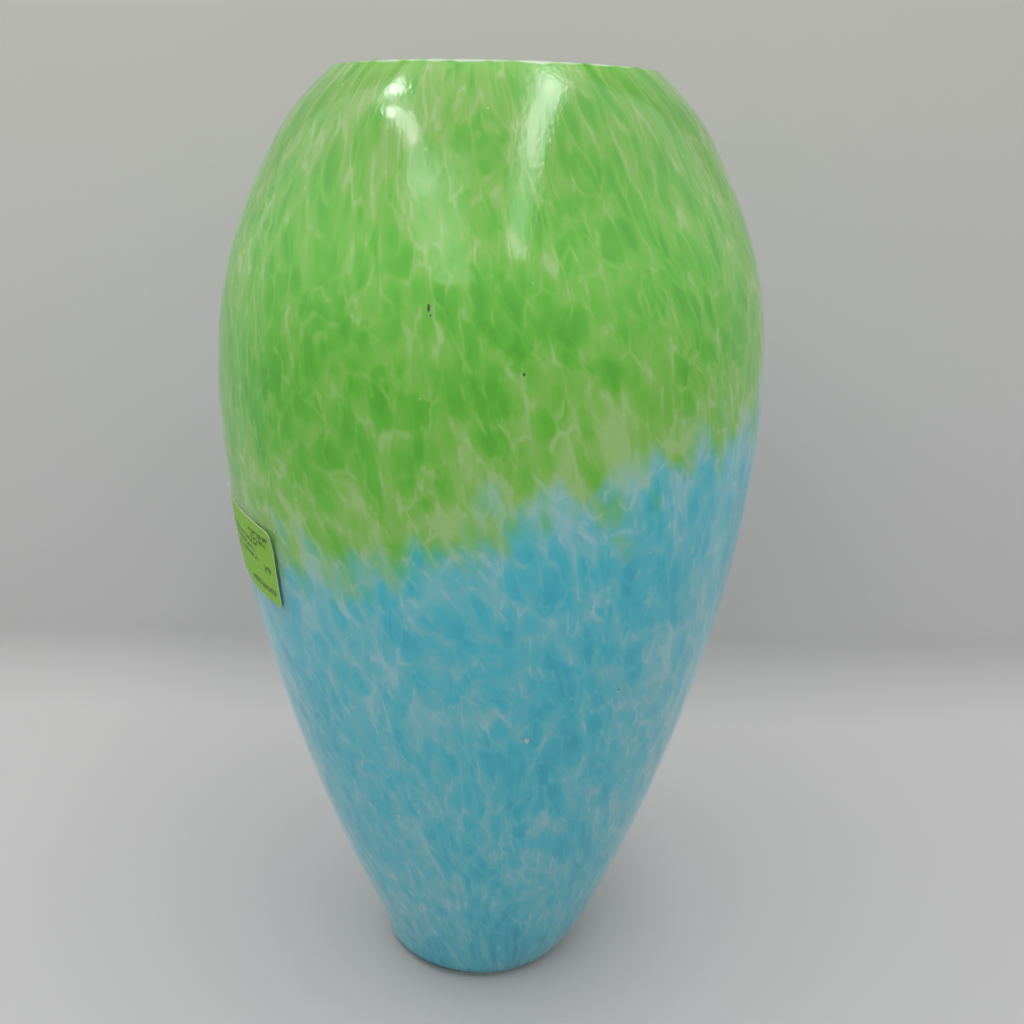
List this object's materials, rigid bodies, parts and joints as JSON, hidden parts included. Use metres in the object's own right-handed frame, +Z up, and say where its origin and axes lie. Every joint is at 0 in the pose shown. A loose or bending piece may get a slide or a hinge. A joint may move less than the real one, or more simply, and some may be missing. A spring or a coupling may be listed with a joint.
{
  "type": "vase",
  "caption": "Hand blown cased glass vase: an egg-shaped body narrowing to a small ground foot, green frit above turquoise frit over white glass, a wide open mouth and a paper price label.",
  "frame": {"origin": "centre of the foot ring, on the surface that the vase stands on", "axes": "+Z up along the turned axis, towards the mouth; -Y towards the viewer's side, with the price label towards -X"},
  "size_m": [0.1732, 0.1732, 0.305],
  "materials": {
    "clear_glass": "glossy, ground satin at the rim and the foot ring",
    "green_glass": "mottled frit under clear glass",
    "turquoise_glass": "mottled frit under clear glass",
    "opal_glass": "glossy opaque white",
    "label_paper": "matte coated paper"
  },
  "bodies": {
    "root": {"clear_casing": "clear_glass", "green_frit_layer": "green_glass", "turquoise_frit_layer": "turquoise_glass", "opal_lining": "opal_glass", "price_label": "label_paper"}
  },
  "joints": []
}
